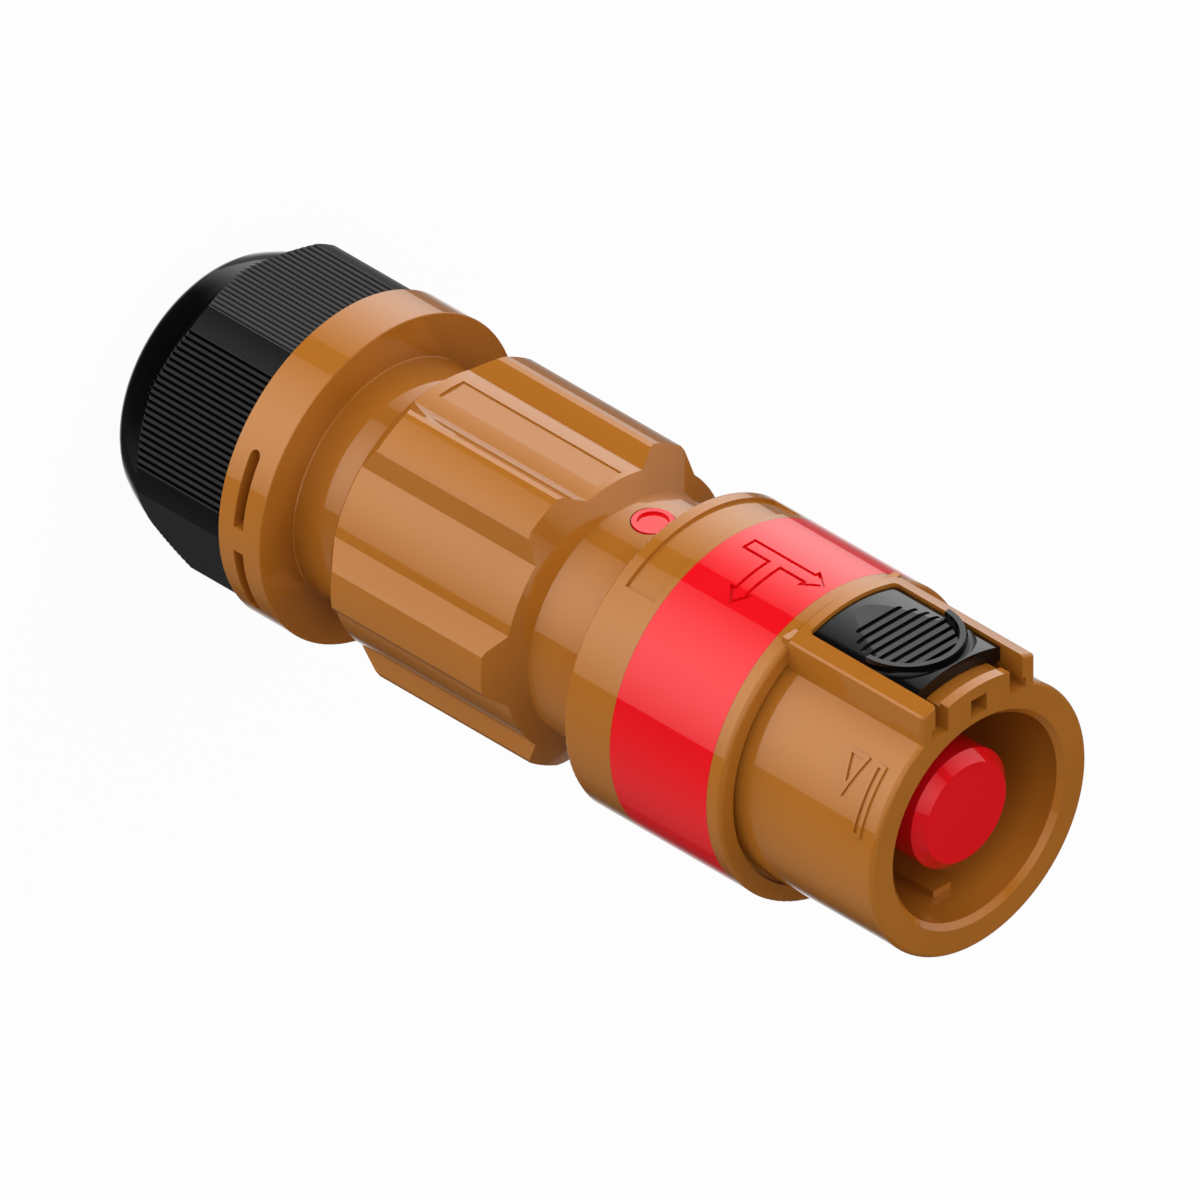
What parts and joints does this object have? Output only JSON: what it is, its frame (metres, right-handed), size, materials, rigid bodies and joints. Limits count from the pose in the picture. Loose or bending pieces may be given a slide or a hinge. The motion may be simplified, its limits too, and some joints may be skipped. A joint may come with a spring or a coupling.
{
  "type": "single pole cam lock connector",
  "caption": "Round power connector for a cable: moulded shells, ridged grip, gland nut, colour band, thumb lock slide and a capped contact in the mouth.",
  "frame": {"origin": "centre of the gland nut's end face, where the cable enters", "axes": "+Z along the connector from the cable end to the mouth, -Y towards the lock slide"},
  "size_m": [0.0662, 0.0662, 0.198],
  "materials": {
    "shell_plastic": "semi-gloss moulded",
    "signal_red": "semi-gloss moulded",
    "gland_plastic": "satin moulded",
    "slide_plastic": "semi-gloss moulded",
    "natural_nylon": "moulded",
    "seal_rubber": "moulded",
    "contact_copper": "turned",
    "louvre_alloy": "stamped",
    "insert_brass": "turned",
    "screw_steel": "blackened"
  },
  "bodies": {
    "nut": {"gland_nut": "gland_plastic"},
    "slip_ring": {"gland_slip_ring": "natural_nylon"},
    "housing": {"front_shell": "shell_plastic", "back_shell": "shell_plastic", "coding_band": "signal_red", "contact_cap": "signal_red", "screw_plug": "signal_red", "gland_claw": "gland_plastic", "gland_seal": "seal_rubber", "contact_seal": "seal_rubber", "shell_seal": "seal_rubber", "detent_spring": "screw_steel", "contact_pin": "contact_copper", "contact_band": "louvre_alloy", "contact_key": "natural_nylon", "contact_retainer": "screw_steel", "clamp_screws": "screw_steel", "lock_screw": "screw_steel", "thread_insert": "insert_brass"},
    "slide": {"lock_slide": "slide_plastic", "latch_bolt": "screw_steel"}
  },
  "joints": [
    {"name": "gland_screw", "type": "hinge", "parent": "nut", "child": "slip_ring", "pos_m": [0, 0, 0.0355], "axis": [0, 0, 1], "range_deg": [0, 3240]},
    {"name": "gland_lift", "type": "slide", "parent": "slip_ring", "child": "housing", "axis": [0, 0, 1], "range_m": [0, 0.0136]},
    {"name": "lock_slide", "type": "slide", "parent": "housing", "child": "slide", "axis": [0, 0, 1], "range_m": [0, 0.003]}
  ],
  "couplings": [
    {"joint": "gland_lift", "follows": "gland_screw", "m_per_rad": 0.00023873}
  ]
}
